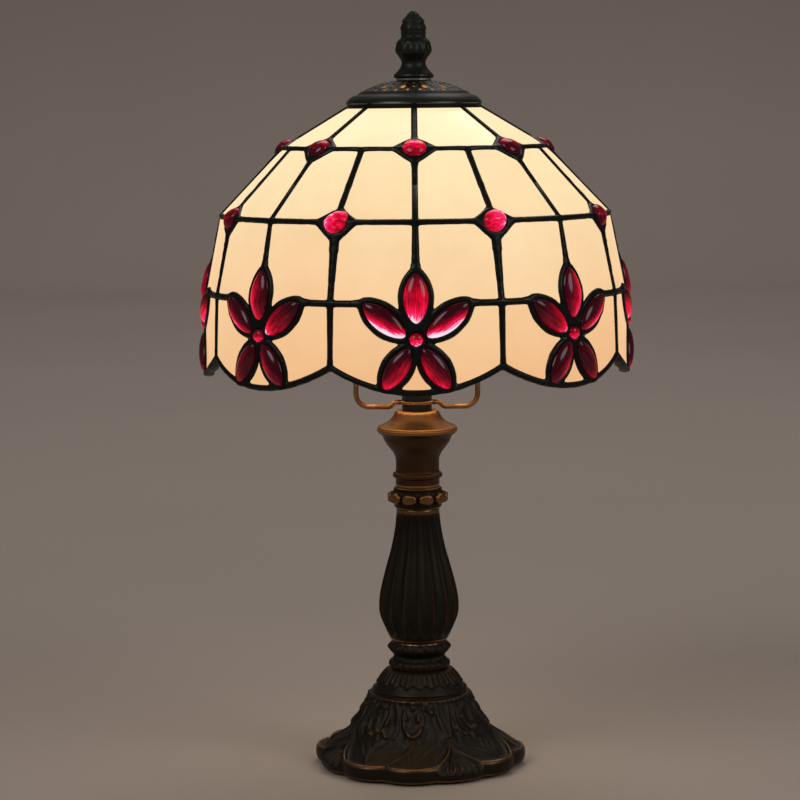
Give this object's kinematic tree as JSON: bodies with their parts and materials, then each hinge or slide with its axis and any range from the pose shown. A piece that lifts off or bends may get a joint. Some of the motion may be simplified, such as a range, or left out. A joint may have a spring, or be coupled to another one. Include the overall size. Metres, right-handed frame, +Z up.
{
  "type": "table lamp",
  "caption": "Leaded glass dome shade with flowers of ruby jewels, held on a harp over a cast bronze-finish baluster stand.",
  "frame": {"origin": "on the lamp's axis, in the plane of the felt under the foot", "axes": "+Z up along the lamp's axis; one flower of the shade faces -Y; the harp's wires lie in the X-Z plane"},
  "size_m": [0.1984, 0.1984, 0.3476],
  "materials": {
    "felt": "matte felt",
    "fibreboard": "matte",
    "antique_bronze": "antiqued, worn to copper on the high spots",
    "spun_bronze": "satin bronze, bright at the rim",
    "rubber": "matte",
    "steel": "satin zinc plate",
    "brass": "satin",
    "copper_bronze": "bright drawn wire",
    "phenolic": "moulded, semi-gloss",
    "porcelain": "unglazed",
    "frosted_glass": "frosted",
    "clear_glass": "clear",
    "black_glass": "glossy",
    "filament": "glowing",
    "dark_patina": "blackish green patina, satin",
    "lead": "solder with black patina, satin",
    "opal_glass": "cream opal, lightly mottled",
    "ruby_glass": "ruby, faceted underside"
  },
  "bodies": {
    "stand": {"base_felt": "felt", "base_cover": "fibreboard", "base_casting": "antique_bronze", "cord_grommet": "rubber", "rod_clamp_plate": "steel", "rod_lock_washer": "steel", "rod_bottom_nut": "brass", "threaded_rod": "brass", "leaf_collar": "antique_bronze", "baluster_column": "antique_bronze", "beaded_knop": "antique_bronze", "cup_neck": "antique_bronze", "bell_cap": "spun_bronze", "harp_spacer": "steel", "harp_ring": "copper_bronze", "harp_wire": "copper_bronze", "harp_top_plate": "copper_bronze", "harp_stud": "brass", "socket_neck": "phenolic", "socket_base": "phenolic", "socket_body": "phenolic", "socket_insulator": "porcelain", "socket_screw_shell": "brass", "socket_centre_contact": "brass", "socket_terminal_screws": "steel"},
    "bulb": {"bulb_globe": "frosted_glass", "bulb_screw_cap": "steel", "bulb_cap_insulator": "black_glass", "bulb_tip_contact": "steel", "bulb_stem": "clear_glass", "bulb_filament": "filament"},
    "seat_washer": {"shade_seat_washer": "rubber"},
    "shade": {"shade_top_ring": "lead", "vented_cap": "dark_patina", "crown_glass": "opal_glass", "upper_glass": "opal_glass", "middle_glass": "opal_glass", "skirt_glass": "opal_glass", "hem_glass": "opal_glass", "petal_jewels": "ruby_glass", "flower_centre_jewels": "ruby_glass", "crown_jewels": "ruby_glass", "band_jewels": "ruby_glass", "crown_ribs": "lead", "upper_ribs": "lead", "middle_ribs": "lead", "skirt_ribs": "lead", "crown_ring": "lead", "band_ring": "lead", "skirt_ring": "lead", "crown_jewel_settings": "lead", "band_jewel_settings": "lead", "flower_frames": "lead", "hem_lead": "lead"},
    "finial_washer": {"finial_washer": "brass"},
    "finial": {"finial_casting": "dark_patina", "finial_insert": "brass"}
  },
  "joints": [
    {"name": "bulb_turn", "type": "hinge", "parent": "stand", "child": "bulb", "pos_m": [0, 0, 0.2], "axis": [0, 0, 1], "range_deg": [0, 1080]},
    {"name": "shade_lift", "type": "slide", "parent": "stand", "child": "seat_washer", "axis": [0, 0, 1], "range_m": [0, 0.165]},
    {"name": "shade_turn", "type": "hinge", "parent": "seat_washer", "child": "shade", "pos_m": [0, 0, 0.3], "axis": [0, 0, 1], "continuous": true},
    {"name": "finial_rise", "type": "slide", "parent": "shade", "child": "finial_washer", "axis": [0, 0, 1], "range_m": [0, 0.006]},
    {"name": "finial_turn", "type": "hinge", "parent": "finial_washer", "child": "finial", "pos_m": [0, 0, 0.32], "axis": [0, 0, 1], "range_deg": [0, 2160]}
  ],
  "couplings": [
    {"joint": "finial_turn", "follows": "finial_rise", "rad_per_m": 6283.2}
  ]
}
